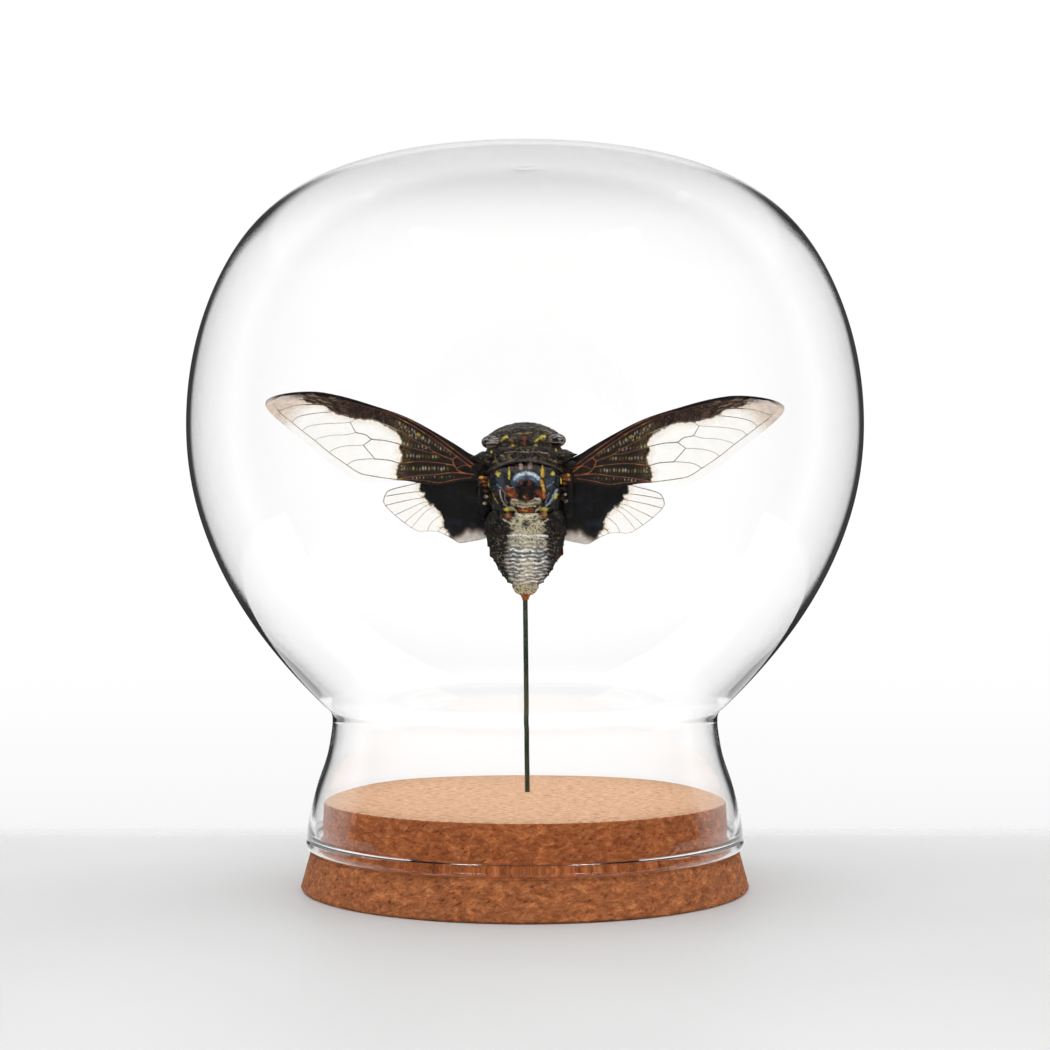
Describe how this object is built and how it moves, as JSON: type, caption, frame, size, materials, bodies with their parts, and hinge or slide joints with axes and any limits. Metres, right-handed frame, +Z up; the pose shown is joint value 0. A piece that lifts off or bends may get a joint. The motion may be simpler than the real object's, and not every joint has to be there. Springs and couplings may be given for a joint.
{
  "type": "mounted cicada in a glass dome",
  "caption": "Spread-winged cicada on an upright wire in a stepped cork base, under an upturned round glass bowl with a pinched waist and a rounded rim.",
  "frame": {"origin": "centre of the cork base's underside, on the surface it stands on", "axes": "+Z up along the bowl's axis; the cicada's back and spread wings face -Y; +X to the right seen from the front"},
  "size_m": [0.1414, 0.1414, 0.1529],
  "materials": {
    "cork": "pressed cork granules, lighter and sanded on top, reddish brown with dark pits on the sides",
    "clear_glass": "clear blown glass with fire-polished rim",
    "wire": "dark green coated steel wire",
    "shell": "glossy black-brown insect shell with yellow spots",
    "abdomen_rings": "matte black rings with a silvery white waxy bloom",
    "legs": "dark brown insect shell, rusty at the joints",
    "forewing": "dark brown, veined in rust at the root and clear cream towards the tip",
    "hindwing": "black with a blue sheen at the root and clear towards the edge"
  },
  "bodies": {
    "root": {"cork_base": "cork", "glass_dome": "clear_glass", "support_wire": "wire", "head": "shell", "pronotum": "shell", "thorax": "shell", "abdomen": "abdomen_rings", "leg_front_left": "legs", "leg_front_right": "legs", "leg_middle_left": "legs", "leg_middle_right": "legs", "leg_hind_left": "legs", "leg_hind_right": "legs", "forewing_left": "forewing", "forewing_right": "forewing", "hindwing_left": "hindwing", "hindwing_right": "hindwing"}
  },
  "joints": []
}
